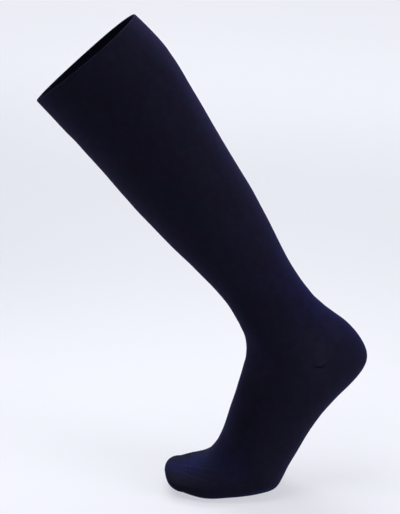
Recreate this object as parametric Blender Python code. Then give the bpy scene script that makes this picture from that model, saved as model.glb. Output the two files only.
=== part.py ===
"""Below-knee compression stocking, hollow and filled out as it is when worn.

The heel is raised and the forefoot stands flat, so the leg leans forward over the toes.
Toes point to -X, the heel to +X, and the origin is the centre of the open top.
Every piece is one knitted wall: a grid of rows (courses) down the stocking and columns
(wales) round it, laid on one smooth surface and given its thickness along the normals.
"""
from collections import namedtuple

import bmesh
import bpy
import numpy as np

# ---- driving sizes, in millimetres -------------------------------------------------------
METRES = 0.001
WALES = 42                  # mesh columns round the leg
COURSE = 11.0               # distance between mesh rows on the leg and foot
FINE_COURSE = 6.5           # the same on the heel and toe, which curve more
SEAM_GAP = 0.3              # clearance between two pieces where they meet
BAND_DEPTH = 48.0           # the turned top band, from the edge down
BAND_LIFT = 0.3             # the doubled band stands this far out from the leg
TOE_CAP = 16.0              # length of the rounded end past the last section
FLOOR = -418.6              # height of the flat under the forefoot
HEEL_CORNER_WALE = 12       # the heel pocket's corner, in wales round from the front
HEEL_ABOVE = 27.0           # the pocket's reach up the back, along the leg's middle line
HEEL_BELOW = 28.0           # and its reach down under the heel
HEEL_CORNER_CUT = 0.12      # wales cut off the pocket's pointed corner

# Wall thickness of each piece: the band is knitted double, heel and toe are reinforced.
THICKNESS = {"top_band": 2.0, "leg": 1.2, "heel": 1.6, "foot": 1.2, "toe": 1.6}

# Each section of the stocking is a closed curve in a plane square to the XZ plane, between a
# front and a back point. It is widest, with `width`, at the part `wide_at` of its depth from
# the front. The rounds are the exponents of its front and back parts: 2 is an ellipse, less
# is more pointed, more is squarer.
Section = namedtuple(
    "Section", "name front_x front_z back_x back_z width wide_at front_round back_round")
SECTIONS = (
    Section("mouth",      -43.5,  -39.5,  43.5,   39.5, 104, 0.60, 1.80, 2.1),
    Section("band",       -12.5,  -74.5,  76.0,    4.0, 107, 0.60, 1.80, 2.1),
    Section("calf",        10.0, -100.0, 103.0,  -41.5, 106, 0.60, 1.80, 2.1),
    Section("low_calf",    42.0, -139.0, 133.5,  -93.5,  98, 0.58, 1.85, 2.1),
    Section("shin",        77.5, -177.0, 163.0, -146.0,  86, 0.54, 1.90, 2.0),
    Section("low_shin",   107.5, -208.0, 184.5, -189.0,  74, 0.50, 2.00, 2.0),
    Section("ankle",      128.5, -233.0, 202.0, -216.5,  65, 0.46, 2.00, 2.0),
    Section("tendon",     137.0, -248.0, 219.0, -235.5,  66, 0.42, 2.00, 2.0),
    Section("heel_top",   143.0, -260.0, 242.0, -253.0,  68, 0.40, 2.00, 2.0),
    Section("heel_upper", 146.0, -270.0, 257.5, -273.0,  69, 0.42, 2.00, 2.0),
    Section("heel",       147.0, -280.0, 261.0, -289.0,  69, 0.44, 2.00, 2.0),
    Section("heel_under", 145.5, -292.0, 249.5, -308.5,  69, 0.46, 2.00, 2.1),
    Section("arch_back",  142.0, -306.0, 232.5, -327.0,  69, 0.50, 2.00, 2.2),
    Section("arch",       137.0, -322.0, 213.0, -352.0,  72, 0.52, 2.00, 2.3),
    Section("instep",     131.5, -340.5, 200.0, -373.5,  78, 0.54, 2.00, 2.3),
    Section("forefoot",   126.0, -360.0, 188.5, -394.0,  85, 0.58, 2.00, 2.2),
    Section("ball_back",  119.5, -376.5, 178.5, -412.0,  90, 0.62, 2.00, 2.1),
    Section("ball",       111.5, -387.0, 162.5, -418.5,  92, 0.62, 2.10, 2.0),
    Section("toe_joint",  101.0, -394.0, 133.0, -419.0,  93, 0.60, 2.10, 2.5),
    Section("toes",        91.0, -397.5, 108.0, -419.0,  87, 0.54, 2.20, 3.0),
    Section("toe_end",     83.0, -399.0,  88.0, -416.5,  72, 0.50, 2.20, 2.4),
)
TOE_SEAM_BEFORE_END = 17.0  # the toe pocket starts this far before the last section

# How blunt the toe cap is: the width closes late, the depth later still.
CAP_WIDTH_POWER = 0.85
CAP_DEPTH_POWER = 0.60
# Fractions of the cap's length at which it has a row; the point itself is one vertex.
CAP_ROWS = (0.26, 0.50, 0.70, 0.85, 0.95, 0.99)

# Linear colours of the knitted yarns.
NAVY = (0.010, 0.010, 0.021, 1.0)
NAVY_BAND = (0.012, 0.012, 0.026, 1.0)
NAVY_POCKET = (0.014, 0.013, 0.024, 1.0)
YARN_ROUGHNESS = 0.85


# ---- the surface that all the pieces lie on ----------------------------------------------
def natural_spline(at, values):
    """Second derivatives of the natural cubic spline through `values` at the places `at`."""
    step = np.diff(at)
    count = len(at)
    matrix = np.eye(count)
    right = np.zeros_like(values)
    for i in range(1, count - 1):
        matrix[i, i - 1:i + 2] = step[i - 1], 2 * (step[i - 1] + step[i]), step[i]
        right[i] = 6 * ((values[i + 1] - values[i]) / step[i]
                        - (values[i] - values[i - 1]) / step[i - 1])
    return np.linalg.solve(matrix, right)


SIZES = np.array([section[1:] for section in SECTIONS])
FRONT_STEPS = np.linalg.norm(np.diff(SIZES[:, 0:2], axis=0), axis=1)
BACK_STEPS = np.linalg.norm(np.diff(SIZES[:, 2:4], axis=0), axis=1)
# A section's station is its distance down the middle of the stocking from the open top.
STATIONS = np.concatenate([[0.0], np.cumsum((FRONT_STEPS + BACK_STEPS) / 2)])
STATION_OF = {section.name: at for section, at in zip(SECTIONS, STATIONS)}
BENDS = natural_spline(STATIONS, SIZES)
LAST = STATIONS[-1]


def sizes_at(station):
    """The section sizes at each station, read from the spline."""
    i = np.clip(np.searchsorted(STATIONS, station) - 1, 0, len(STATIONS) - 2)
    step = (STATIONS[i + 1] - STATIONS[i])[:, None]
    after = (station - STATIONS[i])[:, None]
    before = step - after
    curve = (BENDS[i + 1] * after ** 3 + BENDS[i] * before ** 3) / (6 * step)
    start = (SIZES[i] / step - BENDS[i] * step / 6) * before
    end = (SIZES[i + 1] / step - BENDS[i + 1] * step / 6) * after
    return curve + start + end


def surface(station, round_at):
    """Points at `station` down the stocking and `round_at` of the way round it.

    round_at runs from 0 at the front over 0.25 on the +Y side to 0.5 at the back. It is
    measured along the section's curve, so equal steps of it are equal widths of knitting.
    """
    station, round_at = np.broadcast_arrays(station, round_at)
    shape = station.shape
    station = station.ravel()
    turn = round_at.ravel() % 1.0
    sizes = sizes_at(np.minimum(station, LAST))
    front, back, width = sizes[:, 0:2], sizes[:, 2:4], sizes[:, 4]
    depth = np.linalg.norm(front - back, axis=1)
    across = (front - back) / depth[:, None]
    front_part = depth * sizes[:, 5]
    middle = front - across * front_part[:, None]

    past = np.clip((station - LAST) / TOE_CAP, 0.0, 1.0)
    closing = np.sqrt(1.0 - past ** 2)
    cap_middle = (front + back) / 2

    angle = np.linspace(0.0, np.pi, 91)
    cosine, sine = np.cos(angle), np.abs(np.sin(angle))
    power = 2 / np.where(cosine >= 0, sizes[:, 6:7], sizes[:, 7:8])
    reach = np.where(cosine >= 0, front_part[:, None], (depth - front_part)[:, None])
    along = reach * np.sign(cosine) * np.abs(cosine) ** power
    side = width[:, None] / 2 * sine ** power
    length = np.cumsum(np.hypot(np.diff(along, axis=1), np.diff(side, axis=1)), axis=1)
    length = np.concatenate([np.zeros((len(station), 1)), length], axis=1)
    wanted = length[:, -1] * 2 * np.minimum(turn, 1 - turn)
    i = np.clip((length < wanted[:, None]).sum(axis=1) - 1, 0, len(angle) - 2)
    row = np.arange(len(station))
    part = (wanted - length[row, i]) / (length[row, i + 1] - length[row, i])
    along = along[row, i] * (1 - part) + along[row, i + 1] * part
    side = side[row, i] * (1 - part) + side[row, i + 1] * part

    place = middle + across * along[:, None]
    place = cap_middle + (place - cap_middle) * (closing ** CAP_DEPTH_POWER)[:, None]
    place = place + cap_direction() * (past * TOE_CAP)[:, None]
    side = side * closing ** CAP_WIDTH_POWER * np.where(turn > 0.5, -1, 1)
    points = np.stack([place[:, 0], side, np.maximum(place[:, 1], FLOOR)], axis=1)
    return points.reshape(shape + (3,))


def cap_direction():
    """The way the toe cap points: the way the middle line runs at the last section."""
    before, after = sizes_at(np.array([LAST - 4.0, LAST]))
    way = (after[0:2] + after[2:4] - before[0:2] - before[2:4]) / 2
    return way / np.linalg.norm(way)


def slopes(station, round_at):
    """How the surface moves for 1 mm of station, and for a small step round it."""
    near = 0.02
    turn = 0.0005
    down = (surface(station + near, round_at) - surface(station - near, round_at)) / (2 * near)
    around = surface(station, round_at + turn) - surface(station, round_at - turn)
    return down, around


def normals(station, round_at):
    """Unit normals pointing out of the stocking."""
    down, around = slopes(station, round_at)
    out = np.cross(around, down)
    return out / np.linalg.norm(out, axis=-1, keepdims=True)


def moved(station, round_at, distance):
    """Stations `distance` mm further down the surface than these."""
    down, _ = slopes(station, round_at)
    return station + distance / np.linalg.norm(down, axis=-1)


# ---- where the pieces meet ----------------------------------------------------------------
def station_on_plane(round_at, through, to, low, high):
    """Where each wale crosses the plane, square to XZ, through two points.

    Found by halving the range of stations between `low` and `high`.
    """
    across = np.array([to[2] - through[2], 0.0, through[0] - to[0]])
    low = np.full(round_at.shape, low)
    high = np.full(round_at.shape, high)
    side_of_low = np.sign((surface(low, round_at) - through) @ across)
    for _ in range(40):
        middle = (low + high) / 2
        same = np.sign((surface(middle, round_at) - through) @ across) == side_of_low
        low = np.where(same, middle, low)
        high = np.where(same, high, middle)
    return (low + high) / 2


def heel_edges(round_at):
    """Stations of the heel pocket's upper and lower edge; both are the ankle course in front.

    Each edge is straight seen from the side: from the pocket's corner to the back line.
    """
    course = STATION_OF["heel"]
    corner_turn = HEEL_CORNER_WALE / WALES
    corner = surface(course, corner_turn)
    upper_back = surface(course - HEEL_ABOVE, 0.5)
    lower_back = surface(course + HEEL_BELOW, 0.5)
    upper = np.full(round_at.shape, course)
    lower = np.full(round_at.shape, course)
    in_heel = (round_at > corner_turn + 1e-6) & (round_at < 1 - corner_turn - 1e-6)
    turns = round_at[in_heel]
    upper[in_heel] = station_on_plane(
        turns, corner, upper_back, course - 1.4 * HEEL_ABOVE, course)
    lower[in_heel] = station_on_plane(
        turns, corner, lower_back, course, course + 1.4 * HEEL_BELOW)
    return upper, lower


def rows_between(first, last, course):
    """A grid of stations from `first` to `last`, one column for each wale."""
    longest = np.max(last - first)
    count = max(2, int(round(longest / course)) + 1)
    part = np.linspace(0.0, 1.0, count)[:, None]
    return first + (last - first) * part


# ---- the pieces ---------------------------------------------------------------------------
def make_material(name, colour):
    """Knitted yarn: one Principled material for one piece."""
    material = bpy.data.materials.new(name)
    material.use_nodes = True
    shader = material.node_tree.nodes["Principled BSDF"]
    shader.inputs["Base Color"].default_value = colour
    shader.inputs["Roughness"].default_value = YARN_ROUGHNESS
    shader.inputs["Metallic"].default_value = 0.0
    return material


def make_wall(name, stations, round_at, colour, lift=0.0, closed_round=True, with_point=False):
    """One piece of knitting as a closed wall on the surface.

    stations is a grid, one row for each course; round_at gives each wale's place. A wall that
    isn't closed round has two side edges; one with a point is shut at the toe by a vertex.
    """
    turns = np.broadcast_to(round_at, stations.shape)
    out = normals(stations, turns)
    outer = surface(stations, turns) + out * lift
    inner = outer - out * THICKNESS[name]

    mesh = bmesh.new()
    layers = [[[mesh.verts.new(point * METRES) for point in row] for row in layer]
              for layer in (outer, inner)]
    rows, columns = stations.shape
    pairs = [(k, k + 1) for k in range(columns - 1)]
    if closed_round:
        pairs.append((columns - 1, 0))
    for layer in layers:
        for upper, lower in zip(layer, layer[1:]):
            for k, n in pairs:
                mesh.faces.new((upper[k], upper[n], lower[n], lower[k]))
    outer_rows, inner_rows = layers
    ends = [0] if with_point else [0, rows - 1]
    for end in ends:
        for k, n in pairs:
            mesh.faces.new(
                (outer_rows[end][k], outer_rows[end][n], inner_rows[end][n], inner_rows[end][k]))
    if not closed_round:
        for k in (0, columns - 1):
            for r in range(rows - 1):
                mesh.faces.new((outer_rows[r][k], outer_rows[r + 1][k],
                                inner_rows[r + 1][k], inner_rows[r][k]))
    if with_point:
        direction = cap_direction()
        tip = surface(np.array(LAST + TOE_CAP), np.array(0.0))
        for layer, back in zip(layers, (0.0, THICKNESS[name])):
            place = tip - np.array([direction[0], 0.0, direction[1]]) * back
            point = mesh.verts.new(place * METRES)
            for k, n in pairs:
                mesh.faces.new((layer[-1][k], layer[-1][n], point))
    bmesh.ops.recalc_face_normals(mesh, faces=mesh.faces)

    data = bpy.data.meshes.new(name)
    mesh.to_mesh(data)
    mesh.free()
    data.shade_smooth()
    data.set_sharp_from_angle(angle=np.radians(50))
    data.materials.append(make_material(name, colour))
    piece = bpy.data.objects.new(name, data)
    bpy.context.scene.collection.objects.link(piece)
    return piece


def main():
    for old in list(bpy.data.objects):
        bpy.data.objects.remove(old, do_unlink=True)

    wales = np.arange(WALES) / WALES
    half = SEAM_GAP / 2
    upper_edge, lower_edge = heel_edges(wales)
    band_end = np.full(WALES, BAND_DEPTH)
    toe_seam = np.full(WALES, LAST - TOE_SEAM_BEFORE_END)

    band = rows_between(np.zeros(WALES), moved(band_end, wales, -half), COURSE)
    make_wall("top_band", band, wales, NAVY_BAND, lift=BAND_LIFT)

    leg = rows_between(
        moved(band_end, wales, half), moved(upper_edge, wales, -half), COURSE)
    make_wall("leg", leg, wales, NAVY)

    foot = rows_between(
        moved(lower_edge, wales, half), moved(toe_seam, wales, -half), COURSE)
    make_wall("foot", foot, wales, NAVY)

    corner = HEEL_CORNER_WALE
    pocket_wales = np.arange(corner, WALES - corner + 1).astype(float)
    pocket_wales[0] += HEEL_CORNER_CUT
    pocket_wales[-1] -= HEEL_CORNER_CUT
    pocket_wales = pocket_wales / WALES
    upper_edge, lower_edge = heel_edges(pocket_wales)
    heel = rows_between(
        moved(upper_edge, pocket_wales, half), moved(lower_edge, pocket_wales, -half),
        FINE_COURSE)
    make_wall("heel", heel, pocket_wales, NAVY_POCKET, closed_round=False)

    toe = rows_between(
        moved(toe_seam, wales, half), np.full(WALES, LAST), FINE_COURSE)
    cap = np.array([np.full(WALES, LAST + part * TOE_CAP) for part in CAP_ROWS])
    make_wall("toe", np.concatenate([toe, cap]), wales, NAVY_POCKET, with_point=True)


main()
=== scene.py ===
# %% [markdown]
# # A compression stocking, dressed in its knit
#
# The frame holds five plain walls: the turned top band, the leg, the heel pocket, the foot
# and the toe pocket. On the real stocking they are one piece of knitting that never stops at
# a seam, so here the four lower walls become a single fine cloth shell, the band becomes a
# second one that is folded over at the top, and the few real stitches lie on them.
#
# The first cell loads the frame and notes the height of its floor.

# %% Load the frame
from collections import namedtuple
from math import cos, pi, radians, sin

import bmesh
import bpy
import numpy as np
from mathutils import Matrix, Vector


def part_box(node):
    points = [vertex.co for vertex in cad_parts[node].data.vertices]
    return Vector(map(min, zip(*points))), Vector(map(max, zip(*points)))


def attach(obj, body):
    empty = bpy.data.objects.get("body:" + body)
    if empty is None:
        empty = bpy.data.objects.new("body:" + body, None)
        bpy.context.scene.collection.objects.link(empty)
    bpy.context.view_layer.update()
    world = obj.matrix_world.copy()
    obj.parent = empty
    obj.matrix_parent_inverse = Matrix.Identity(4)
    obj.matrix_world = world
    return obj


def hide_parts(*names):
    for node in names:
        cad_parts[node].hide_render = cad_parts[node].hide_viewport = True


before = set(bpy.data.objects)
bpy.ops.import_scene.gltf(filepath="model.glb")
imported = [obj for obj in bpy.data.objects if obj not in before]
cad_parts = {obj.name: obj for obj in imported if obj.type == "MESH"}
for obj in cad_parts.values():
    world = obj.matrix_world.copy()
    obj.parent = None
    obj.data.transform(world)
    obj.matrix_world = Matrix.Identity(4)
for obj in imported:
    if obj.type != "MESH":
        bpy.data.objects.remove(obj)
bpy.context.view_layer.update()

MM = 0.001
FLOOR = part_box("foot")[0][2]
BAND_WALL, LEG_WALL, HEEL_WALL, FOOT_WALL, TOE_WALL = "top_band", "leg", "heel", "foot", "toe"
print("frame:", sorted(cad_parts), "floor at", round(FLOOR, 4), "m")

# %% [markdown]
# ## The form of the stocking
#
# A worn stocking is a tube that swells and narrows. A knitter's chart measures it at a few
# heights: round the calf, above the ankle, over the heel, round the foot. The form here is
# drawn the same way. Each row of the table is one closed curve, given by its front point, its
# back point, its width and how round it is, and a smooth spline joins the rows. The frame's
# walls were drawn from the same chart, so a fine shell on it lies exactly where they are.
#
# The rings fan out round the ankle: they are close together over the instep and far apart at
# the heel, which is how a knitted heel turns the corner.

# %% The chart of sections, in millimetres
Section = namedtuple(
    "Section", "name front_x front_z back_x back_z width wide_at front_round back_round")
SECTIONS = [Section(*row) for row in (
    ("mouth",      -43.5,  -39.5,  43.5,   39.5, 104, 0.60, 1.80, 2.1),
    ("band",       -12.5,  -74.5,  76.0,    4.0, 107, 0.60, 1.80, 2.1),
    ("calf",        10.0, -100.0, 103.0,  -41.5, 106, 0.60, 1.80, 2.1),
    ("low_calf",    42.0, -139.0, 133.5,  -93.5,  98, 0.58, 1.85, 2.1),
    ("shin",        77.5, -177.0, 163.0, -146.0,  86, 0.54, 1.90, 2.0),
    ("low_shin",   107.5, -208.0, 184.5, -189.0,  74, 0.50, 2.00, 2.0),
    ("ankle",      128.5, -233.0, 202.0, -216.5,  65, 0.46, 2.00, 2.0),
    ("tendon",     137.0, -248.0, 219.0, -235.5,  66, 0.42, 2.00, 2.0),
    ("heel_top",   143.0, -260.0, 242.0, -253.0,  68, 0.40, 2.00, 2.0),
    ("heel_upper", 146.0, -270.0, 257.5, -273.0,  69, 0.42, 2.00, 2.0),
    ("heel",       147.0, -280.0, 261.0, -289.0,  69, 0.44, 2.00, 2.0),
    ("heel_under", 145.5, -292.0, 249.5, -308.5,  69, 0.46, 2.00, 2.1),
    ("arch_back",  142.0, -306.0, 232.5, -327.0,  69, 0.50, 2.00, 2.2),
    ("arch",       137.0, -322.0, 213.0, -352.0,  72, 0.52, 2.00, 2.3),
    ("instep",     131.5, -340.5, 200.0, -373.5,  78, 0.54, 2.00, 2.3),
    ("forefoot",   126.0, -360.0, 188.5, -394.0,  85, 0.58, 2.00, 2.2),
    ("ball_back",  119.5, -376.5, 178.5, -412.0,  90, 0.62, 2.00, 2.1),
    ("ball",       111.5, -387.0, 162.5, -418.5,  92, 0.62, 2.10, 2.0),
    ("toe_joint",  101.0, -394.0, 133.0, -419.0,  93, 0.60, 2.10, 2.5),
    ("toes",        91.0, -397.5, 108.0, -419.0,  87, 0.54, 2.20, 3.0),
    ("toe_end",     83.0, -399.0,  88.0, -416.5,  72, 0.50, 2.20, 2.4),
)]
BAND_DEPTH = 48.0           # the turned band, from the top edge down
TOE_CAP = 16.0              # the rounded end past the last section
TOE_SEAM_BEFORE_END = 17.0  # the toe pocket starts this far before the last section
CAP_WIDTH_POWER, CAP_DEPTH_POWER = 0.85, 0.60
HEEL_CORNER = 12 / 42       # how far round from the front the heel pocket's corner is
HEEL_ABOVE, HEEL_BELOW = 27.0, 28.0     # how far the pocket reaches at the back

SIZES = np.array([section[1:] for section in SECTIONS])
STEPS = (np.linalg.norm(np.diff(SIZES[:, 0:2], axis=0), axis=1)
         + np.linalg.norm(np.diff(SIZES[:, 2:4], axis=0), axis=1)) / 2
STATIONS = np.concatenate([[0.0], np.cumsum(STEPS)])
STATION_OF = {section.name: at for section, at in zip(SECTIONS, STATIONS)}
LAST = STATIONS[-1]
CHART_LENGTH = LAST + TOE_CAP
print("chart:", len(SECTIONS), "sections over", round(CHART_LENGTH), "mm of tube")


# %% The smooth surface through the chart
def spline_bends(at, values):
    """Second derivatives of the natural cubic spline through values."""
    step = np.diff(at)
    matrix = np.eye(len(at))
    right = np.zeros_like(values)
    for i in range(1, len(at) - 1):
        matrix[i, i - 1:i + 2] = step[i - 1], 2 * (step[i - 1] + step[i]), step[i]
        right[i] = 6 * ((values[i + 1] - values[i]) / step[i]
                        - (values[i] - values[i - 1]) / step[i - 1])
    return np.linalg.solve(matrix, right)


BENDS = spline_bends(STATIONS, SIZES)


def sizes_at(station):
    """The chart's sizes at each station."""
    i = np.clip(np.searchsorted(STATIONS, station) - 1, 0, len(STATIONS) - 2)
    step = (STATIONS[i + 1] - STATIONS[i])[:, None]
    after = (station - STATIONS[i])[:, None]
    before = step - after
    curve = (BENDS[i + 1] * after ** 3 + BENDS[i] * before ** 3) / (6 * step)
    start = (SIZES[i] / step - BENDS[i] * step / 6) * before
    end = (SIZES[i + 1] / step - BENDS[i + 1] * step / 6) * after
    return curve + start + end


def cap_direction():
    """The way the toe cap points, from the last few millimetres before it."""
    before, after = sizes_at(np.array([LAST - 4.0, LAST]))
    way = (after[0:2] + after[2:4] - before[0:2] - before[2:4]) / 2
    return way / np.linalg.norm(way)


CAP_WAY = cap_direction()
RING_SAMPLES = 73           # points on half a ring, by which its girth is measured


def form(station, round_at):
    """Points, in millimetres, at a station down the stocking and a part of the way round.

    round_at is 0 in front, 0.25 on the +Y side and 0.5 behind, measured along the knitting.
    """
    station, round_at = np.broadcast_arrays(
        np.asarray(station, float), np.asarray(round_at, float))
    shape = station.shape
    station = station.ravel()
    turn = round_at.ravel() % 1.0
    sizes = sizes_at(np.minimum(station, LAST))
    front, back, width = sizes[:, 0:2], sizes[:, 2:4], sizes[:, 4]
    depth = np.linalg.norm(front - back, axis=1)
    across = (front - back) / depth[:, None]
    front_part = depth * sizes[:, 5]
    middle = front - across * front_part[:, None]

    angle = np.linspace(0.0, pi, RING_SAMPLES)
    cosine, sine = np.cos(angle), np.abs(np.sin(angle))
    power = 2 / np.where(cosine >= 0, sizes[:, 6:7], sizes[:, 7:8])
    reach = np.where(cosine >= 0, front_part[:, None], (depth - front_part)[:, None])
    along = reach * np.sign(cosine) * np.abs(cosine) ** power
    side = width[:, None] / 2 * sine ** power
    length = np.cumsum(np.hypot(np.diff(along, axis=1), np.diff(side, axis=1)), axis=1)
    length = np.concatenate([np.zeros((len(station), 1)), length], axis=1)
    wanted = length[:, -1] * 2 * np.minimum(turn, 1 - turn)
    i = np.clip((length < wanted[:, None]).sum(axis=1) - 1, 0, RING_SAMPLES - 2)
    row = np.arange(len(station))
    part = (wanted - length[row, i]) / (length[row, i + 1] - length[row, i])
    along = along[row, i] * (1 - part) + along[row, i + 1] * part
    side = side[row, i] * (1 - part) + side[row, i + 1] * part

    past = np.clip((station - LAST) / TOE_CAP, 0.0, 1.0)
    closing = np.sqrt(1.0 - past ** 2)
    cap_middle = (front + back) / 2
    place = middle + across * along[:, None]
    place = cap_middle + (place - cap_middle) * (closing ** CAP_DEPTH_POWER)[:, None]
    place = place + CAP_WAY * (past * TOE_CAP)[:, None]
    side = side * closing ** CAP_WIDTH_POWER * np.where(turn > 0.5, -1, 1)
    points = np.stack([place[:, 0], side, np.maximum(place[:, 1], FLOOR / MM)], axis=1)
    return points.reshape(shape + (3,))


def outward(station, round_at):
    """Unit normals of the form."""
    near, turn = 0.05, 0.0008
    station = np.minimum(station, CHART_LENGTH - 2 * near)
    down = form(station + near, round_at) - form(station - near, round_at)
    around = form(station, round_at + turn) - form(station, round_at - turn)
    out = np.cross(around, down)
    return out / np.linalg.norm(out, axis=-1, keepdims=True)


print("calf point in front:", np.round(form(STATION_OF["calf"], 0.0), 1).tolist())

# %% [markdown]
# ## Where the heel pocket lies
#
# A knitting machine turns a heel by going back and forth on the rear needles only. It leaves out
# a needle at each course until the rows are at their narrowest, and then takes them in again.
# From the side the pocket is two wedges that share one corner below the ankle bone, and the
# line between the wedges is called the gore line.
#
# Each wedge starts at a plane through that corner, so its edge is straight seen from the side,
# just as the edge of the heel wall in the frame is. A column of stitches meets the plane
# somewhere between two known stations, and halving that range finds the place.

# %% The edges of the heel pocket
HEEL_COURSE = STATION_OF["heel"]
CORNER = form(HEEL_COURSE, HEEL_CORNER)
HALVINGS = 30               # far finer than can be seen


def into_pocket(back_station):
    """Unit normal, into the pocket, of the plane through its corners and a back point."""
    along = form(back_station, 0.5) - CORNER
    normal = np.array([along[2], 0.0, -along[0]])
    normal *= np.sign((form(HEEL_COURSE, 0.5) - CORNER) @ normal)
    return normal / np.linalg.norm(normal)


def edge_stations(round_at, normal, first):
    """Where each column enters the pocket, between the station first and the gore line."""
    outside, inside = np.full(round_at.shape, first), np.full(round_at.shape, HEEL_COURSE)
    for _ in range(HALVINGS):
        middle = (outside + inside) / 2
        within = (form(middle, round_at) - CORNER) @ normal > 0
        inside = np.where(within, middle, inside)
        outside = np.where(within, outside, middle)
    return (outside + inside) / 2


UPPER_NORMAL = into_pocket(HEEL_COURSE - HEEL_ABOVE)
LOWER_NORMAL = into_pocket(HEEL_COURSE + HEEL_BELOW)
print("heel corner:", np.round(CORNER, 1).tolist(), "mm")

# %% [markdown]
# ## Soft folds
#
# A compression stocking is pulled tight, so it has no real creases. It does have a slight
# slackness where the ankle bends and over the toe joints, and a form that is never quite even.
# Each fold here is one row of a table: where it lies, how long and wide it is, how far it slants
# and how deep it is, and the two sides of the stocking get different ones. A fold has a
# slight lip along each side. A positive depth makes a soft ridge with no lips, as over the edge
# of the tendon and where the foot fills the cloth. A few slow waves add the unevenness. The
# folds and the waves stay under half a millimetre, which only the light shows. The broadest
# ridges are one or two millimetres high.

# %% Folds and slow waves
Fold = namedtuple("Fold", "station round_at length width slant depth")
FOLDS = [Fold(*row) for row in (
    (312.0, 0.03, 26.0, 6.5, 0.12, -0.20),    # over the bend of the ankle
    (326.0, 0.97, 30.0, 6.0, -0.08, -0.24),
    (340.0, 0.05, 24.0, 5.6, 0.20, -0.18),
    (353.0, 0.93, 20.0, 6.2, -0.16, -0.20),
    (368.0, 0.02, 22.0, 5.4, 0.10, -0.16),
    (292.0, 0.47, 20.0, 5.0, 0.25, -0.28),    # behind the ankle
    (303.0, 0.53, 24.0, 4.2, -0.18, -0.34),
    (313.0, 0.46, 17.0, 4.0, 0.30, -0.24),
    (318.0, 0.21, 22.0, 5.5, 0.55, -0.25),    # beside the ankle, on the +Y side
    (341.0, 0.26, 18.0, 4.6, 0.80, -0.20),
    (326.0, 0.80, 25.0, 6.0, -0.45, -0.22),   # and differently on the other
    (352.0, 0.76, 15.0, 5.0, -0.90, -0.18),
    (303.0, 0.694, 13.0, 36.0, 2.80, 1.20),   # the edge of the tendon, running down
    (300.0, 0.303, 12.0, 33.0, -2.70, 1.00),
    (478.0, 0.04, 25.0, 4.0, 0.10, -0.26),    # over the toe joints
    (489.0, 0.95, 30.0, 3.6, -0.14, -0.32),
    (499.0, 0.03, 20.0, 3.2, 0.08, -0.22),
    (516.0, 0.917, 20.0, 5.6, 1.40, 0.46),    # a ridge beside the toes, slanting to the sole
    (523.0, 0.868, 17.0, 5.2, 1.30, -0.36),   # and the trough below it
    (512.0, 0.094, 18.0, 5.0, -1.25, 0.38),
    (522.0, 0.139, 15.0, 4.6, -1.35, -0.28),
    (404.0, 0.52, 26.0, 6.0, 0.15, -0.24),    # under the arch
    (421.0, 0.47, 22.0, 5.0, -0.20, -0.20),
    (447.0, 0.50, 46.0, 13.0, 0.0, 0.90),     # a little fuller behind the ball of the foot,
    (479.0, 0.37, 26.0, 6.0, 0.0, 1.10),      # at both edges of the ball,
    (479.0, 0.63, 26.0, 6.0, 0.0, 1.10),
    (480.0, 0.00, 30.0, 12.0, 0.0, 0.90),     # over the bend to the toes
    (546.0, 0.385, 22.0, 7.0, 0.0, 1.90),     # and under the toes
    (546.0, 0.615, 22.0, 7.0, 0.0, 1.90),
)]
Wave = namedtuple("Wave", "down around start height")
WAVES = [Wave(*row) for row in (
    (63.0, 1, 0.4, 0.10), (97.0, 2, 1.9, 0.12), (41.0, 3, 3.1, 0.06), (150.0, 2, 5.0, 0.12),
    (29.0, 4, 0.9, 0.04),
)]
GIRTH = 300.0               # a middle girth, enough to size the folds
LIP_HEIGHT = 0.35           # of the fold's depth
LIP_AT, LIP_WIDTH = 1.7, 0.8    # of the fold's width


def soft_relief(station, round_at):
    """How far the cloth stands out of the form, in millimetres."""
    height = np.zeros(np.broadcast_shapes(np.shape(station), np.shape(round_at)))
    for fold in FOLDS:
        aside = ((round_at - fold.round_at + 0.5) % 1.0 - 0.5) * GIRTH
        across = (station - fold.station - aside * fold.slant) / fold.width
        lip = np.exp(-((np.abs(across) - LIP_AT) / LIP_WIDTH) ** 2)
        trough = np.exp(-across ** 2) - LIP_HEIGHT * (fold.depth < 0.0) * lip
        height += fold.depth * trough * np.exp(-(aside / fold.length) ** 2)
    for wave in WAVES:
        height += wave.height * np.sin(
            2 * pi * (station / wave.down + wave.around * round_at) + wave.start)
    return height


depths = [fold.depth for fold in FOLDS]
print(len(FOLDS), "folds and ridges: from", -min(depths), "mm deep to", max(depths), "mm high")

# %% [markdown]
# ## The gore line
#
# Where the wedges of the heel meet, the machine links short rows together. All of the pull of
# the heel ends at the pocket's corner, so there the line is a short deep dimple that sags in
# its middle. Behind it only a fine groove with a slight lip on each side runs on, and it fades
# out before the back of the heel.
#
# Both are measured on the cloth itself: how far behind the corner a stitch lies, and how far
# below the gore line.

# %% The dimple and the groove
GORE_END = 0.385            # how far round from the front the groove fades out
GORE_LEAD = 4.0             # it starts this far in front of the corner
GORE_WIDTH, GORE_DEPTH = 0.75, 0.32
GORE_LIP_AT, GORE_LIP_HEIGHT = 2.2, 0.3     # of the groove's width and depth
DIMPLE_MIDDLE, DIMPLE_LENGTH, DIMPLE_WIDTH, DIMPLE_DEPTH = 0.8, 6.6, 1.15, 0.62
DIMPLE_ABOVE, DIMPLE_BEND = 0.4, 0.074      # above the gore line, and how bent


def behind_corner(round_at):
    """Millimetres from the heel's corner towards the back of the heel."""
    return (np.minimum(round_at, 1.0 - round_at) - HEEL_CORNER) * GIRTH


def dimple_course(round_at):
    """The station of the dimple's middle, which sags at the corner and rises at both ends."""
    return HEEL_COURSE - DIMPLE_ABOVE - DIMPLE_BEND * behind_corner(round_at) ** 2


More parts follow.
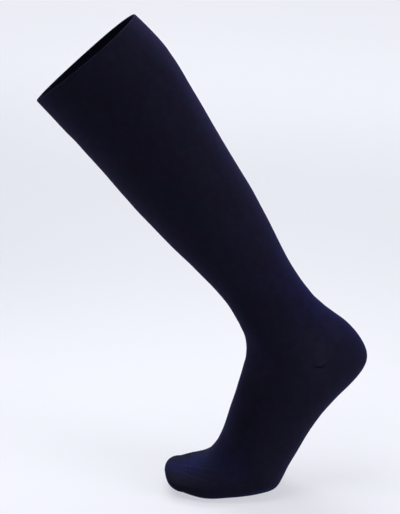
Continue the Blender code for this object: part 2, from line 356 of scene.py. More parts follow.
def gore_relief(station, round_at):
    """The dimple, the groove and its lips, in millimetres."""
    behind = behind_corner(round_at)
    past = np.clip(behind / ((GORE_END - HEEL_CORNER) * GIRTH), 0.0, 1.0)
    lead = np.clip(1.0 + behind / GORE_LEAD, 0.0, 1.0)
    strength = np.where(behind < 0.0, lead, 1.0 - past ** 1.5)
    away = station - HEEL_COURSE
    groove = np.exp(-(away / GORE_WIDTH) ** 2)
    lip = np.exp(-((np.abs(away) - GORE_LIP_AT * GORE_WIDTH) / GORE_WIDTH) ** 2)
    away = station - dimple_course(round_at)
    dimple = np.exp(-(away / DIMPLE_WIDTH) ** 2
                    - np.abs((behind - DIMPLE_MIDDLE) / DIMPLE_LENGTH) ** 3)
    return GORE_DEPTH * strength * (GORE_LIP_HEIGHT * lip - groove) - DIMPLE_DEPTH * dimple


print("gore line: from", round(HEEL_CORNER, 3), "to", GORE_END, "of the way round")

# %% [markdown]
# The cloth is not stretched evenly, and parts of it are painted lighter. Round and above the
# heel's corner, just under the dimple, before the ankle and by the ball of the foot the stitches
# are pulled open, which looks a little lighter, and a painted highlight lies over them there.
# Over the toes and the tendon, and faintly elsewhere, the navy is painted bluer: a painted blue
# highlight where the sheen catches the light. Each row of these tables is one soft patch, and
# the cloth carries their sums as attributes, which its material can read.

# %% Where the knitting is pulled open under a painted highlight, and the painted blue highlight
Patch = namedtuple("Patch", "station round_at down around amount")
# Painted highlight over stitches that are pulled open.
OPENED_AND_HIGHLIT = (
    Patch(HEEL_COURSE - 10.0, HEEL_CORNER + 0.010, 29.0, 18.0, 0.9),  # all round the corner
    Patch(HEEL_COURSE + 1.8, HEEL_CORNER + 0.027, 3.4, 3.2, 0.7),  # just under the dimple's end
    Patch(HEEL_COURSE - 34.0, 0.405, 15.0, 10.0, 0.55),  # where the tendon meets the heel
    Patch(HEEL_COURSE + 10.0, 0.08, 38.0, 28.0, 0.5),  # in front of the ankle
    Patch(LAST - 64.0, 0.16, 22.0, 22.0, 0.5),  # beside the ball of the foot
)
# Painted blue highlight: the navy turns bluer where the sheen catches the light.
PAINTED_BLUE_HIGHLIGHT = (
    Patch(LAST - 14.0, 0.0, 38.0, 31.0, 1.0),  # over the toes
    Patch(LAST - 66.0, 0.15, 18.0, 20.0, 0.28),  # beside the ball of the foot
    Patch(STATION_OF["tendon"] - 14.0, 0.5, 64.0, 44.0, 0.42),  # over the tendon
    Patch(HEEL_COURSE - 22.0, 0.0, 40.0, 34.0, 0.16),  # and over the bend in front
)


def patches(rows, station, round_at):
    """The sum of soft patches, from 0 to 1, alike on both sides of the stocking."""
    turn = np.minimum(round_at, 1.0 - round_at)
    return np.minimum(1.0, sum(
        row.amount * np.exp(-((station - row.station) / row.down) ** 2
                            - ((turn - row.round_at) * GIRTH / row.around) ** 2) for row in rows))


print("pulled open and highlit at the corner:", round(float(patches(OPENED_AND_HIGHLIT, HEEL_COURSE, HEEL_CORNER)), 2))

# %% [markdown]
# ## Knitting the long tube
#
# The leg, heel, foot and toe are one cloth. It is made as panels: each panel is a grid whose
# rows follow the courses and whose columns follow the wales, though it is coarser than the
# stitches. Neighbouring panels share their edge points, which are merged afterwards, so the
# finished tube has no seam at all.
#
# Every corner of every face also gets a place on the knitting chart, as a UV map. Its first
# number says how far round the stitch lies and its second how far down. In the two halves of
# the heel the courses run side by side with the pocket's edges, so on the gore line they meet
# at an angle, as they do in a real turned heel.

# %% The panels of the tube
Panel = namedtuple("Panel", "stations turns courses reinforced")
COLUMNS = 168
LEG_ROWS, HEEL_ROWS, FOOT_ROWS, TOE_ROWS, CAP_ROWS = 118, 27, 74, 9, 16
HEEL_CROWDING = 2.4         # the more, the closer the rows at the gore line
EDGE_SEARCH = 1.4           # the edges are within this many depths of the gore line
TUCKED = 46.0               # the tube's top edge, hidden inside the turned band
TURNS = np.arange(COLUMNS + 1) / COLUMNS
CORNER_COLUMN = round(COLUMNS * HEEL_CORNER)
POCKET = slice(CORNER_COLUMN, COLUMNS - CORNER_COLUMN + 1)


def rows_between(first, last, parts):
    """Rows at parts of the way from first to last, in every column."""
    return first + (last - first) * parts[:, None]


def round_panel(first, last, parts, start, end, reinforced):
    """A panel that goes all round, with rows at parts of its length."""
    first, last = [np.broadcast_to(edge, COLUMNS + 1) for edge in (first, last)]
    courses = np.repeat(start + (end - start) * parts[:, None], COLUMNS + 1, axis=1)
    return Panel(rows_between(first, last, parts), TURNS, courses, reinforced)


def heel_panel(edge, normal, sign):
    """Half of the heel pocket, from its edge to the gore line, with rows crowded at the line."""
    back = np.exp(HEEL_CROWDING * np.linspace(1.0, 0.0, HEEL_ROWS)) - 1.0
    stations = rows_between(edge[POCKET], HEEL_COURSE, 1.0 - back / (np.exp(HEEL_CROWDING) - 1.0))
    depth = (form(stations, TURNS[POCKET]) - CORNER) @ normal
    return Panel(stations, TURNS[POCKET], HEEL_COURSE + sign * depth, 1.0)


upper_edge, lower_edge = np.full(COLUMNS + 1, HEEL_COURSE), np.full(COLUMNS + 1, HEEL_COURSE)
for edge, normal, depth in ((upper_edge, UPPER_NORMAL, -HEEL_ABOVE),
                            (lower_edge, LOWER_NORMAL, HEEL_BELOW)):
    edge[POCKET] = edge_stations(TURNS[POCKET], normal, HEEL_COURSE + EDGE_SEARCH * depth)
toe_seam = LAST - TOE_SEAM_BEFORE_END

crowd_end = 1.0 - np.linspace(1.0, 0.0, LEG_ROWS) ** 1.25  # the leg's rows, closer at the heel
crowd_start = np.linspace(0.0, 1.0, FOOT_ROWS) ** 1.2  # the foot's rows, the same
cap = np.sin(np.radians(np.linspace(0.0, 90.0, CAP_ROWS)))  # the toe's rounded end
panels = (
    round_panel(TUCKED, upper_edge, crowd_end, TUCKED, HEEL_COURSE, 0.0),
    heel_panel(upper_edge, UPPER_NORMAL, 1.0),
    heel_panel(lower_edge, LOWER_NORMAL, -1.0),
    round_panel(lower_edge, toe_seam, crowd_start, HEEL_COURSE, toe_seam, 0.0),
    round_panel(toe_seam, LAST, np.linspace(0.0, 1.0, TOE_ROWS), toe_seam, LAST, 1.0),
    round_panel(LAST, CHART_LENGTH, cap, LAST, CHART_LENGTH, 1.0),
)
print("panels:", [panel.stations.shape for panel in panels])

# %% [markdown]
# A grid could be extruded row by row, but a knitted tube has a chart, and bmesh can lay every
# point of it at once. After that, equal points are merged, which also turns the flat faces at
# the toe's pole and the heel's corners into neat triangles, and the faces are turned outwards.
# The band needs the same steps, so they are helpers.

# %% Helpers that lay a cloth
CHART = "wales and courses"


def linked(name, data):
    """A new object that holds this data, linked to the scene at the origin."""
    made = bpy.data.objects.new(name, data)
    bpy.context.scene.collection.objects.link(made)
    return made


def lay_grid(mesh, points, mark):
    """Adds a grid of faces to a bmesh, and marks every corner of each."""
    rows = [[mesh.verts.new(point * MM) for point in row] for row in points]
    for r in range(len(rows) - 1):
        for k in range(len(rows[0]) - 1):
            spots = ((r, k), (r, k + 1), (r + 1, k + 1), (r + 1, k))
            face = mesh.faces.new([rows[i][j] for i, j in spots])
            for loop, (i, j) in zip(face.loops, spots):
                mark(loop, i, j)


def cloth_from(name, mesh):
    """Merges what meets, turns the faces outwards and makes the bmesh an object."""
    bmesh.ops.remove_doubles(mesh, verts=mesh.verts, dist=2e-6)
    bmesh.ops.recalc_face_normals(mesh, faces=mesh.faces)
    data = bpy.data.meshes.new(name)
    mesh.to_mesh(data)
    mesh.free()
    data.shade_smooth()
    return linked(name, data)


def only(piece):
    """Selects this piece and nothing else, and makes it the active one."""
    bpy.ops.object.select_all(action="DESELECT")
    piece.select_set(True)
    bpy.context.view_layer.objects.active = piece


def count(piece):
    """Triangles in a mesh."""
    return sum(len(face.vertices) - 2 for face in piece.data.polygons)


print("each corner of a cloth gets its", CHART)

# %% [markdown]
# Only when the panels are one cloth does the Solidify modifier give it its thickness, towards
# the inside. Its new faces come after the old ones, so the reverse side is easy to mark.

# %% From panels to one cloth
CLOTH = 1.1                 # thickness of the single knit, in millimetres
# The last two marks carry painted highlights: one over the open stitches, and a blue one.
MARKS = ("reinforced", "pulled open and highlit", "painted blue highlight")
REVERSE_SIDE = "reverse side"


def lay_panel(mesh, panel, chart, dense, opened_highlight_layer, blue_highlight_layer):
    """Adds one panel to a bmesh, with its place on the knitting chart and its marks."""
    stations, turns = panel.stations, panel.turns
    height = soft_relief(stations, turns) + gore_relief(stations, turns)
    points = form(stations, turns) + outward(stations, turns) * height[..., None]
    points[..., 2] = np.maximum(points[..., 2], FLOOR / MM)
    # Painted highlight over the pulled-open stitches.
    opened_highlight = patches(OPENED_AND_HIGHLIT, stations, turns)
    # Painted blue highlight.
    blue_highlight = patches(PAINTED_BLUE_HIGHLIGHT, stations, turns)

    def mark(loop, i, j):
        loop[chart].uv = turns[j], panel.courses[i, j] / CHART_LENGTH
        loop[dense], loop[opened_highlight_layer], loop[blue_highlight_layer] = panel.reinforced, opened_highlight[i, j], blue_highlight[i, j]

    lay_grid(mesh, points, mark)


mesh = bmesh.new()
chart = mesh.loops.layers.uv.new(CHART)
layers = [mesh.loops.layers.float.new(each) for each in MARKS]
for panel in panels:
    lay_panel(mesh, panel, chart, *layers)
tube = cloth_from("knitted_tube", mesh)
face_side = len(tube.data.polygons)
wall = tube.modifiers.new("cloth", "SOLIDIFY")
wall.thickness, wall.offset = CLOTH * MM, -1.0
only(tube)
bpy.ops.object.modifier_apply(modifier=wall.name)
reverse = tube.data.attributes.new(REVERSE_SIDE, "FLOAT", "FACE")
reverse.data.foreach_set("value", [float(i >= face_side) for i in range(len(tube.data.polygons))])
print("knitted tube:", count(tube), "triangles,", face_side, "faces outside")

# %% [markdown]
# ## The turned band
#
# The first few centimetres are knitted double: the machine knits twice the depth, turns it in
# half and hooks the first course on again. The top edge is therefore a soft fold and not a raw
# edge, and the band is twice as thick as the leg. From outside the knitting runs on into the
# leg with hardly a step, while inside the hooked course makes a small hem.
#
# The band is one closed profile carried round the form: up the outside, over the fold, and
# back down the inside. The profile is worked out as stations and as offsets from the form.
# Nobody pulls a stocking up quite evenly, so the top edge stands a little higher in front and
# on one side.

# %% The turned band
BAND_COLUMNS = 252
OUTER_ROWS, FOLD_ROWS, INNER_ROWS, HEM_ROWS = 40, 11, 36, 9
BAND_OUT, BAND_THICK, FOLD_RADIUS = 0.26, 2.0, 1.0
STEP_LENGTH = 6.0           # the outside eases down to the leg over this length
EDGE_OUT, EDGE_IN = 0.01, -1.3      # the lower edge, just outside and just inside the tube
HEM_MIDDLE, HEM_HALF, HEM_DEPTH = 1.1, 1.0, 0.28
HIGHER_IN_FRONT, HIGHER_ASIDE = 1.5, 2.1    # how much of the top edge's height varies, in mm
INSIDE = BAND_OUT - BAND_THICK

outer = np.concatenate([[BAND_DEPTH], np.linspace(BAND_DEPTH - 0.08, FOLD_RADIUS, OUTER_ROWS)])
ease = np.clip((BAND_DEPTH - outer) / STEP_LENGTH, 0.0, 1.0)
over = np.radians(np.linspace(0.0, 180.0, FOLD_ROWS)[1:])
inner = np.linspace(FOLD_RADIUS, BAND_DEPTH - 2 * HEM_MIDDLE, INNER_ROWS)[1:]
hem = np.radians(np.linspace(-90.0, 90.0, HEM_ROWS)[1:-1])
profile_stations = np.concatenate([
    outer, FOLD_RADIUS * (1.0 - np.sin(over)), inner,
    BAND_DEPTH - HEM_MIDDLE + HEM_HALF * np.sin(hem), [BAND_DEPTH - 0.1, BAND_DEPTH]])
profile_offsets = np.concatenate([
    EDGE_OUT + (BAND_OUT - EDGE_OUT) * ease * ease * (3.0 - 2.0 * ease),
    BAND_OUT - FOLD_RADIUS * (1.0 - np.cos(over)), np.full(inner.shape, INSIDE),
    INSIDE - HEM_DEPTH * np.cos(hem), [EDGE_IN, EDGE_OUT]])


def carry_round(name, stations, offsets):
    """A closed profile carried round the form as one solid ring of cloth."""
    turns = np.arange(BAND_COLUMNS + 1) / BAND_COLUMNS
    higher = HIGHER_IN_FRONT * np.cos(2 * pi * turns) - HIGHER_ASIDE * np.sin(2 * pi * turns)
    grid = stations[:, None] - (1.0 - stations / BAND_DEPTH)[:, None] * higher
    lift = offsets[:, None] + soft_relief(grid, turns)
    points = form(grid, turns) + outward(grid, turns) * lift[..., None]
    walked = np.cumsum(np.hypot(np.diff(stations), np.diff(offsets)))
    walked = np.concatenate([[0.0], walked]) / CHART_LENGTH
    mesh = bmesh.new()
    chart = mesh.loops.layers.uv.new(CHART)

    def mark(loop, i, j):
        loop[chart].uv = turns[j], walked[i]

    lay_grid(mesh, points, mark)
    return cloth_from(name, mesh)


band = carry_round("turned_band", profile_stations, profile_offsets)
print("turned band:", count(band), "triangles")

# %% [markdown]
# ## One stitch, sewn many times
#
# A linking stitch is a short loop of yarn that dives into the cloth at both ends. It starts as
# a small sphere, is stretched into a pill, and has its two ends pushed down in edit mode. Every
# other stitch is a copy of its points, turned to lie along its seam. Blender gives a sphere's
# faces in a new order each run, so they are sorted.

# %% Model the stitch
STITCH_LENGTH, STITCH_WIDTH = 2.0, 0.62
STITCH_HEIGHT, STITCH_DIVE = 0.75 * STITCH_WIDTH, 0.35 * STITCH_WIDTH
STITCH_ENDS = 0.3 * STITCH_LENGTH       # what is further out than this dives


def pick(piece, chosen):
    """Selects only the points that pass the test."""
    for group in (piece.data.vertices, piece.data.edges, piece.data.polygons):
        for part in group:
            part.select = False
    for vertex in piece.data.vertices:
        vertex.select = chosen(vertex.co)


bpy.ops.object.select_all(action="DESELECT")
bpy.ops.mesh.primitive_uv_sphere_add(segments=8, ring_count=6, radius=0.5, rotation=(0, pi / 2, 0))
stitch = bpy.context.object
stitch.name = "stitch"
bpy.ops.object.transform_apply(location=False, rotation=True, scale=False)
bpy.ops.object.mode_set(mode="EDIT")
bpy.ops.mesh.select_all(action="SELECT")
bpy.ops.transform.resize(value=(STITCH_LENGTH * MM, STITCH_WIDTH * MM, STITCH_HEIGHT * MM))
bpy.ops.object.mode_set(mode="OBJECT")
for sign in (-1, 1):
    pick(stitch, lambda point: sign * point.x > STITCH_ENDS * MM)
    bpy.ops.object.mode_set(mode="EDIT")
    bpy.ops.transform.translate(value=(0.0, 0.0, -STITCH_DIVE * MM))
    bpy.ops.object.mode_set(mode="OBJECT")
stitch_points = np.array([vertex.co for vertex in stitch.data.vertices])
stitch_faces = sorted(tuple(face.vertices) for face in stitch.data.polygons)
bpy.data.objects.remove(stitch, do_unlink=True)
print("stitch:", len(stitch_faces), "faces")


# %% Sew a row of stitches
def sew(name, stations, turns, lift, size, lean):
    """Copies of the stitch along a row of places, each turned to lie along the row."""
    stations = np.broadcast_to(stations, turns.shape)
    sizes = np.broadcast_to(size, turns.shape)
    out = outward(stations, turns)
    height = lift + soft_relief(stations, turns)
    centres = (form(stations, turns) + out * height[:, None]) * MM
    along = np.gradient(centres, axis=0)
    along -= out * (along * out).sum(axis=1, keepdims=True)
    along /= np.linalg.norm(along, axis=1, keepdims=True)
    aside = np.cross(out, along)
    along, aside = (along * cos(lean) + aside * sin(lean), aside * cos(lean) - along * sin(lean))
    points, faces = [], []
    for centre, x, y, z, scale in zip(centres, along, aside, out, sizes):
        faces += [tuple(len(points) + corner for corner in face) for face in stitch_faces]
        points += list(centre + scale * (stitch_points @ np.array([x, y, z])))
    data = bpy.data.meshes.new(name)
    data.from_pydata([tuple(point) for point in points], [], faces)
    data.shade_smooth()
    return linked(name, data)


print("each stitch has", len(stitch_points), "points")

# %% [markdown]
# ## The three seams
#
# Only three places on a stocking are linked after the tube is knitted, or while it turns. The
# corner of the heel gets a short dark bar: a dozen tight stitches in the dimple, small at both
# ends and larger in its middle, whose near-black colour is painted shade for the shadow in the
# dimple. The toe is closed by a linking seam across its top. The hem of the turned band is
# caught down on its inside.

# %% Heel bars, toe seam and band hem
BAR_PARTS = np.linspace(0.0, 1.0, 12)
BAR_LIFT, BAR_LEAN = 0.2, 1.1
BAR_SIZES = 0.75 + 0.5 * np.sin(pi * BAR_PARTS)
SEAM_REACH, SEAM_STITCHES, SEAM_BOW = 0.235, 87, 1.5
HEM_STITCHES, HEM_ABOVE = 200, 3.4      # and how far above the band's lower edge

# Where each bar is, which way it runs, and its first and last stitch in mm behind the corner
BARS = ((HEEL_CORNER, 1, -5.4, 7.2), (1.0 - HEEL_CORNER, -1, -5.1, 6.6))

bars = []
for side, sign, first, last in BARS:
    bar_turns = side + sign * (first + (last - first) * BAR_PARTS) / GIRTH
    bar_stations = dimple_course(bar_turns)
    lift = gore_relief(bar_stations, bar_turns) + BAR_LIFT
    bars.append(sew("bar", bar_stations, bar_turns, lift, BAR_SIZES, BAR_LEAN * sign))
heel_bars = bars[0]
only(heel_bars)
bars[1].select_set(True)
bpy.ops.object.join()
heel_bars.name = "heel_bars"

seam_turns = np.linspace(-SEAM_REACH, SEAM_REACH, SEAM_STITCHES)
seam_stations = toe_seam + SEAM_BOW * np.cos(2 * pi * seam_turns)
toe_link = sew("toe_link", seam_stations, seam_turns, lift=0.02, size=0.62, lean=0.5)

hem_turns = np.arange(HEM_STITCHES) / HEM_STITCHES
hem_stitches = sew("hem_stitches", BAND_DEPTH - HEM_ABOVE, hem_turns,
                   lift=INSIDE - 0.02, size=0.7, lean=0.9)
for piece in (heel_bars, toe_link, hem_stitches):
    print(piece.name + ":", count(piece), "triangles")

# %% [markdown]
# ## Shader maths
#
# A knit is a pattern of numbers, so its material is easier to read as sums than as boxes and
# noodles. This class holds one output of a node. Adding or multiplying such outputs adds the
# Math node for it, and one method makes every other kind of node. Two functions then start a
# material and finish it: what changes over the surface is wired to the shader, and what is the
# same all over is set on it. Yarn hardly shines, but it has a soft blue sheen.

# %% A wire that can be calculated with
class Wire:
    """One output of a shader node; arithmetic on wires adds Math nodes."""

    def __init__(self, tree, socket=None):
        self.tree, self.socket = tree, socket

    def node(self, kind, settings=None, sockets=None, output=0):
        """A new node: first its settings, then the values or wires of its sockets."""
        made = self.tree.nodes.new("ShaderNode" + kind)
        for name, value in (settings or {}).items():
            setattr(made, name, value)
        for name, value in (sockets or {}).items():
            if isinstance(value, Wire):
                self.tree.links.new(value.socket, made.inputs[name])
            else:
                made.inputs[name].default_value = value
        return Wire(self.tree, made.outputs[output])

    def output(self, name):
        """Another output of the same node."""
        return Wire(self.tree, self.socket.node.outputs[name])

    def maths(self, operation, *others):
        """A Math node on this wire and any other values or wires."""
        return self.node("Math", {"operation": operation}, dict(enumerate((self, *others))))

    def __add__(self, other):
        return self.maths("ADD", other)

    def __sub__(self, other):
        return self.maths("SUBTRACT", other)

    def __rsub__(self, other):
        return self.node("Math", {"operation": "SUBTRACT"}, {0: other, 1: self})

    def __mul__(self, other):
        return self.maths("MULTIPLY", other)

    def __pow__(self, other):
        return self.maths("POWER", other)

    def __abs__(self):
        return self.maths("ABSOLUTE")

    __radd__, __rmul__ = __add__, __mul__

    def noise(self, scale, detail, roughness=0.5):
        """Soft noise over the places that this wire gives."""
        return self.node("TexNoise", None, {
            "Vector": self, "Scale": scale, "Detail": detail, "Roughness": roughness})

    def mixed(self, first, second):
        """A colour from first to second, as this wire goes from 0 to 1."""
        return self.node("Mix", {"data_type": "RGBA"}, {0: self, 6: first, 7: second}, 2)


print("reflected forms:", [name for name in vars(Wire) if name.startswith("__r")])


# %% Starting and finishing a material
SHEEN_BLUE = (0.0, 0.03, 1.0, 1.0)


def start(name):
    """A new material, a wire to build from and the place on the piece."""
    material = bpy.data.materials.new(name)
    material.use_nodes = True
    wire = Wire(material.node_tree)
    return material, wire, wire.node("TexCoord").output("Object")


def finish(material, wires, values):
    """Connects what changes over the surface and sets what doesn't."""
    shader = material.node_tree.nodes["Principled BSDF"]
    for name, wire in wires.items():
        material.node_tree.links.new(wire.socket, shader.inputs[name])
    for name, value in values.items():
        shader.inputs[name].default_value = value
    return material


def finish_yarn(material, colour, roughness, normal, sheen):
    """Finishes yarn: little gloss, and a blue sheen."""
    return finish(
        material, {"Base Color": colour, "Roughness": roughness, "Normal": normal},
        {"Specular IOR Level": 0.055, "Sheen Weight": sheen, "Sheen Roughness": 0.42,
         "Sheen Tint": SHEEN_BLUE})


print("sheen of yarn:", SHEEN_BLUE[:3])

# %% [markdown]
# ## The knit
#
# Plain knitting is rows of small V shapes. Each wale is two legs of yarn side by side, both
# slanting, and each course repeats them. There are about four hundred wales round this tube
# and about two courses to a millimetre, so from a step away the stitches are only a fine grain.
#
# Nylon-covered elastic yarn is matt and a little dusty, and its blue sheen is what draws the
# outline of such a dark cloth. It is never dyed quite evenly, so the navy is a little warmer in
# some places and cooler in others. The heel and toe are knitted with one yarn more, so they are
# slightly denser and warmer in colour.
#
# The back of plain knitting looks different: the tops and feet of the stitches make small
# wavy bars across it, without any V. That side shows inside the mouth. It is painted lighter
# than the face, partly the back's own lighter look and partly painted light in the shade there.

# %% The knitted finish
WALES, COURSES = 400, 1020
WARM_NAVY, COOL_NAVY = (0.0068, 0.0043, 0.0126, 1.0), (0.0044, 0.0057, 0.0146, 1.0)
NAVY_DEEP = (0.0034, 0.0029, 0.0079, 1.0)
POCKET_NAVY = (0.0052, 0.0045, 0.0106, 1.0)
# Painted highlight, over stitches that are pulled open.
OPENED_HIGHLIGHT_NAVY = (0.0104, 0.0090, 0.0200, 1.0)
# Painted blue highlight, where the sheen catches the light.
HIGHLIGHT_BLUE_NAVY = (0.0046, 0.0076, 0.0560, 1.0)
# Partly painted light: lighter than a knit's back, so the shaded mouth isn't black.
REVERSE_AND_FILL_NAVY = (0.0125, 0.0115, 0.0250, 1.0)
CLOTH_SHEEN = 0.063
STITCH_BUMP = 0.00012       # the height of a stitch in the bump, in metres
FUZZ_SCALE, PATCHY_SCALE, DYE_SCALE, SLOW_SCALE = 1400.0, 150.0, 75.0, 21.0
STRIPES_ROUND, STRIPES_DOWN = 90.0, 5.0     # they run down the leg
STITCH_TONE, FUZZ_TONE, SLOW_TONE, PATCHY_TONE, STRIPE_TONE = 0.45, 0.45, 0.45, 2.1, 0.30
TONE_START = 1.40           # the patterns' sum where the cloth is darkest


def humps(along):
    """Rounded humps, one for each whole number that the wire passes."""
    return 1.0 - (along.maths("FRACT") * 2.0 - 1.0) ** 2.0


def knit_finish(name, on_leg):
    """Fine plain knitting that follows the chart of wales and courses."""
    material, wire, place = start(name)
    spot = wire.node("SeparateXYZ", None, {0: wire.node("UVMap", {"uv_map": CHART})})
    around, downward = spot, spot.output(1)
    wale, course = around * WALES, downward * COURSES
    across = abs(wale.maths("FRACT") - 0.5) * 2.0
    stitch_height = (across * pi).maths("SINE") * (humps(course + across * 0.6) * 0.5 + 0.5)

    fuzz = place.noise(FUZZ_SCALE, 2.0)
    slow = place.noise(SLOW_SCALE, 3.0)
    patchy = place.noise(PATCHY_SCALE, 3.0, 0.7)
    dye = place.noise(DYE_SCALE, 3.0)
    stripes = wire.node("CombineXYZ", None, {0: around * STRIPES_ROUND, 1: downward * STRIPES_DOWN})
    stripes = stripes.noise(1.0, 2.0)

    tone = (stitch_height * STITCH_TONE + fuzz * FUZZ_TONE + slow * SLOW_TONE
            + patchy * PATCHY_TONE + stripes * STRIPE_TONE - TONE_START)
    tone = tone.node("Clamp", None, {0: tone})
    colour = tone.mixed(NAVY_DEEP, (dye * 3.0 - 1.0).mixed(WARM_NAVY, COOL_NAVY))
    if on_leg:
        dense, opened_highlight, blue_highlight, reverse = [
            wire.node("Attribute", {"attribute_name": each}).output("Fac")
            for each in MARKS + (REVERSE_SIDE,)]
        grain = tone * 0.5 + 0.5
        colour = (dense * grain).mixed(colour, POCKET_NAVY)
        # Painted highlight over the pulled-open stitches.
        colour = (opened_highlight * grain * (1.0 - dense * 0.5)).mixed(colour, OPENED_HIGHLIGHT_NAVY)
        # Painted blue highlight over the toes and the tendon.
        colour = (blue_highlight * grain).mixed(colour, HIGHLIGHT_BLUE_NAVY)
        bars = humps(course + (wale * (2 * pi)).maths("SINE") * 0.25)
        # The reverse side is painted lighter, partly as painted light in the shaded mouth.
        colour = reverse.mixed(colour, (bars * 0.6 + fuzz * 0.4).mixed(NAVY_DEEP, REVERSE_AND_FILL_NAVY))
        stitch_height = stitch_height * (1.0 - reverse) + bars * reverse
    height = stitch_height + fuzz * 0.35
    normal = wire.node("Bump", None, {"Strength": 0.5, "Distance": STITCH_BUMP, "Height": height})
    roughness = 0.92 - stitch_height * 0.10 - slow * 0.06
    return finish_yarn(material, colour, roughness, normal, CLOTH_SHEEN)


tube.data.materials.append(knit_finish("fine_knit", True))
band.data.materials.append(knit_finish("doubled_knit", False))
print("knit:", WALES, "wales,", COURSES, "courses")

# %% [markdown]
# ## Linking yarn
#
# The stitches of the seams use a thinner, firmer yarn. It is twisted from two plies, so it has
# fine slanting ridges. At the heel, where it lies in the dimple, it is painted almost black as
# painted shade for the dimple's shadow.

# %% The finish of the seam yarn
# Painted shade: the heel's bar yarn is almost black for the shadow in the dimple.
SHADED_BAR_DARK, SHADED_BAR_LIGHT = (0.0006, 0.0006, 0.0012, 1.0), (0.0020, 0.0018, 0.0048, 1.0)
YARN_SHEEN = 0.02


def yarn_finish(name, dark, light):
    """Two-ply yarn: slanting ridges across the stitch and a little fuzz."""
    material, wire, place = start(name)
    twist = wire.node(
        "TexWave", {"bands_direction": "DIAGONAL"},
        {"Vector": place, "Scale": 420.0, "Distortion": 1.2, "Detail": 1.0})
    tone = twist.output("Fac") * 0.6 + place.noise(2600.0, 2.0) * 0.4
    normal = wire.node("Bump", None, {"Strength": 0.5, "Distance": 0.00008, "Height": tone})
    return finish_yarn(material, tone.mixed(dark, light), 0.95 - tone * 0.15, normal, YARN_SHEEN)


# The heel's bars take the painted shade.
heel_bars.data.materials.append(yarn_finish("bar_yarn_painted_shade", SHADED_BAR_DARK, SHADED_BAR_LIGHT))
toe_link.data.materials.append(yarn_finish("linking_yarn", NAVY_DEEP, POCKET_NAVY))
hem_stitches.data.materials.append(yarn_finish("hem_yarn", NAVY_DEEP, WARM_NAVY))
print("yarns:", [piece.data.materials[0].name for piece in (heel_bars, toe_link, hem_stitches)])

# %% [markdown]
# ## Standing in for the frame's walls
#
# The tube stands for four of the frame's walls and the band for the fifth. Both are sheets that
# are held stretched: off the leg a compression stocking shrinks to about four fifths of its
# worn girth, and a little shorter. The flat sizes say how large the cloth is then.

# %% Ride and replace
RELAXED_GIRTH, RELAXED_LENGTH = 0.80, 0.96
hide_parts(LEG_WALL, HEEL_WALL, FOOT_WALL, TOE_WALL)
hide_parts(BAND_WALL)
for piece, slot in ((tube, "leg_knit"), (band, "band_knit"), (heel_bars, "pocket_knit"),
                    (toe_link, "pocket_knit"), (hem_stitches, "band_knit")):
    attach(piece, "root")


def girth(station):
    """The worn girth of the form at a station, in millimetres."""
    ring = form(station, np.linspace(0.0, 1.0, 361))
    return np.linalg.norm(np.diff(ring, axis=0), axis=1).sum()


tube_stations = np.linspace(TUCKED, CHART_LENGTH - 1.0, 200)
tube_girths = np.array([girth(station) for station in tube_stations])
flat_width = tube_girths.max() * RELAXED_GIRTH * MM
flat_length = (CHART_LENGTH - TUCKED) * RELAXED_LENGTH * MM
flat_area = flat_width * flat_length * tube_girths.mean() / tube_girths.max()
band_width = girth(BAND_DEPTH / 2) * RELAXED_GIRTH * MM
print("flat tube:", round(flat_width, 3), "x", round(flat_length, 3), "m,",
      round(flat_area, 4), "m2; flat band:", round(band_width, 3), "m wide")

# %% [markdown]
# ## Floor and backdrop
#
# A product is shown on a roll of pale paper that lies on the floor and curves up behind it, so
# there is no line where the floor ends. The paper starts as a plane on the floor. Its far edge
# is extruded along the profile, and the curve gets enough steps to look round.

# %% The paper sweep
SWEEP_START, SWEEP_RADIUS, SWEEP_WIDTH, SWEEP_HEIGHT = 3.4, 0.8, 16.0, 3.5
FLOOR_LENGTH = 11.0

bpy.ops.object.select_all(action="DESELECT")
bpy.ops.mesh.primitive_plane_add(
    size=1.0, location=(0.0, SWEEP_START - FLOOR_LENGTH / 2, FLOOR))
sweep = bpy.context.object
sweep.name = "paper_sweep"
bpy.ops.transform.resize(value=(SWEEP_WIDTH, FLOOR_LENGTH, 1.0))
bpy.ops.object.transform_apply(location=True, rotation=False, scale=True)
pick(sweep, lambda point: point.y > SWEEP_START - MM)
bpy.ops.object.mode_set(mode="EDIT")
bend = [radians(angle) for angle in range(0, 91, 5)]
profile = [(SWEEP_RADIUS * sin(angle), SWEEP_RADIUS * (1 - cos(angle))) for angle in bend]
profile.append((SWEEP_RADIUS, SWEEP_HEIGHT))
for (y, z), (next_y, next_z) in zip(profile, profile[1:]):
    bpy.ops.mesh.extrude_region_move(
        TRANSFORM_OT_translate={"value": (0.0, next_y - y, next_z - z)})
bpy.ops.mesh.select_all(action="SELECT")
bpy.ops.mesh.normals_make_consistent(inside=False)
bpy.ops.object.mode_set(mode="OBJECT")
sweep.data.shade_smooth()
print("sweep:", count(sweep), "triangles")

# %% [markdown]
# The paper is matt and very slightly blue. A slow noise keeps it from being one flat tone, as
# real paper is never coated quite evenly. It also glows, though it is no lamp, and the glow is
# painted light. Near the stocking it is a painted pool of light, which also lightens the
# stocking's shadow on the paper. It dips in a broad ring round the stocking as painted shade,
# and grows far away from it, where no lamp reaches, so the paper runs out into the pale room
# without a line. Three soft spots make the ring less even: two deepen its painted shade and one
# lifts it with painted light.

# %% The paper
PAPER_DARK, PAPER_LIGHT = (0.265, 0.265, 0.28, 1.0), (0.295, 0.295, 0.31, 1.0)
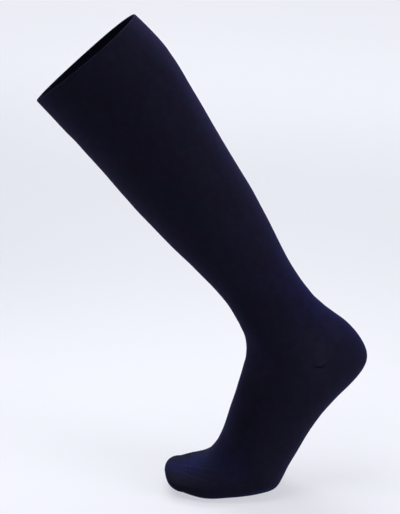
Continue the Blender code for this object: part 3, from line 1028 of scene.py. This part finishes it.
# Painted light: a painted pool of light near the stocking that also lightens its shadow, painted
# shade in the ring.
NEAR_GLOW, DEEP_GLOW = (0.66, 0.672, 0.725, 1.0), (0.37, 0.388, 0.419, 1.0)
FAR_GLOW = (0.90, 0.91, 0.96, 1.0)
DIP_MIDDLE, DIP_WIDTH, FAR_START, FAR_END = 1.0, 0.55, 2.2, 4.5     # metres from under the mouth
Spot = namedtuple("Spot", "x y radius amount")
# Spots of painted shade that deepen the ring, and one of painted light that lifts it.
SHADE_AND_LIGHT_SPOTS = [Spot(*row) for row in (
    (-0.50, 1.45, 0.60, 0.9), (-0.20, 0.62, 0.25, 0.35), (0.34, 0.06, 0.32, -0.4))]

material, wire, place = start("pale_paper")
paper = place.noise(1.3, 1.0) * 0.8 + place.noise(900.0, 2.0) * 0.2
place_x = wire.node("SeparateXYZ", None, {0: place})
place_y = place_x.output(1)
distance = (place_x * place_x + place_y * place_y) ** 0.5
away = (distance - DIP_MIDDLE) * (1.0 / DIP_WIDTH)
# The ring of painted shade, with the spots added to it.
painted_shade = (away * away * -1.0).maths("EXPONENT")
for spot in SHADE_AND_LIGHT_SPOTS:
    x = (place_x - spot.x) * (1.0 / spot.radius)
    y = (place_y - spot.y) * (1.0 / spot.radius)
    painted_shade = painted_shade + ((x * x + y * y) * -1.0).maths("EXPONENT") * spot.amount
far = wire.node("MapRange", {"interpolation_type": "SMOOTHSTEP"},
                {0: distance, 1: FAR_START, 2: FAR_END})
glow = far.mixed((painted_shade * 0.5).mixed(NEAR_GLOW, DEEP_GLOW), FAR_GLOW)
sweep.data.materials.append(finish(
    material, {"Base Color": paper.mixed(PAPER_DARK, PAPER_LIGHT), "Emission Color": glow},
    {"Roughness": 0.9, "Specular IOR Level": 0.1, "Emission Strength": 0.8}))
print("paper:", len(SHADE_AND_LIGHT_SPOTS), "soft spots in its glow")

# %% [markdown]
# ## Light and camera
#
# A dark cloth shows its form only where light grazes it. One wide soft light stands low on the
# heel's side, so the back of the calf and of the heel catch it. Its light is kept in a narrow
# cone, or the paper below it would be too bright. Two more, above the toes and far behind, draw
# the shin and the top of the toes, and the last one washes the paper. Each is wider than the
# stocking is long, so no shadow has an edge.
#
# The world is a pale room that the camera sees but that gives only a little light, so from any
# side the ground is light and the dark cloth still keeps its shape.
#
# The camera stands well back with a long lens, a little above, and looks straight at the side.

# %% Lights
def soft_light(name, place, target, size, power, spread=180.0):
    """A square area light that looks at a point, with its spread in degrees."""
    light = bpy.data.lights.new(name, "AREA")
    light.size, light.energy, light.color, light.spread = size, power, DAYLIGHT, radians(spread)
    lamp = linked(name, light)
    lamp.location = place
    lamp.rotation_euler = (Vector(target) - Vector(place)).to_track_quat("-Z", "Y").to_euler()
    lamp.visible_camera = False


AIM = (0.1031, 0.0, -0.188)
DAYLIGHT = (0.97, 0.98, 1.0)
ROOM_COLOUR = (0.95, 0.96, 1.0, 1.0)
ROOM_GIVES, ROOM_SEEN = 0.244, 0.6      # its light, and what the camera sees on top
soft_light("beside_heel", (3.1, -1.4, 0.59), AIM, 1.6, 14.6, spread=70.0)
soft_light("above_toes", (-0.5, -0.2, 1.5), AIM, 1.3, 22.5)
soft_light("far_behind", (-0.2, 1.6, 1.3), AIM, 1.3, 17.0)
soft_light("backdrop_wash", (0.1, 1.9, 2.2), (0.1, 2.2, 0.3), 2.0, 38.0)
world = bpy.data.worlds.new("pale_room")
world.use_nodes = True
background = world.node_tree.nodes["Background"]
background.inputs["Color"].default_value = ROOM_COLOUR
seen = Wire(world.node_tree).node("LightPath")
world.node_tree.links.new((seen * ROOM_SEEN + ROOM_GIVES).socket, background.inputs["Strength"])
bpy.context.scene.world = world
bpy.context.scene.view_settings.view_transform = "Standard"
print("lights:", [lamp.name for lamp in bpy.data.objects if lamp.type == "LIGHT"])

# %% Camera
ELEVATION, DISTANCE = radians(18.0), 1.674
camera_data = bpy.data.cameras.new("camera")
camera_data.sensor_fit = "VERTICAL"
camera_data.sensor_height = 36.0
camera_data.lens = 126.07
camera = linked("camera", camera_data)
camera.location = Vector(AIM) + DISTANCE * Vector((0.0, -cos(ELEVATION), sin(ELEVATION)))
camera.rotation_euler = (Vector(AIM) - camera.location).to_track_quat("-Z", "Y").to_euler()
bpy.context.scene.camera = camera
print("camera:", [round(x, 3) for x in camera.location])

# %% [markdown]
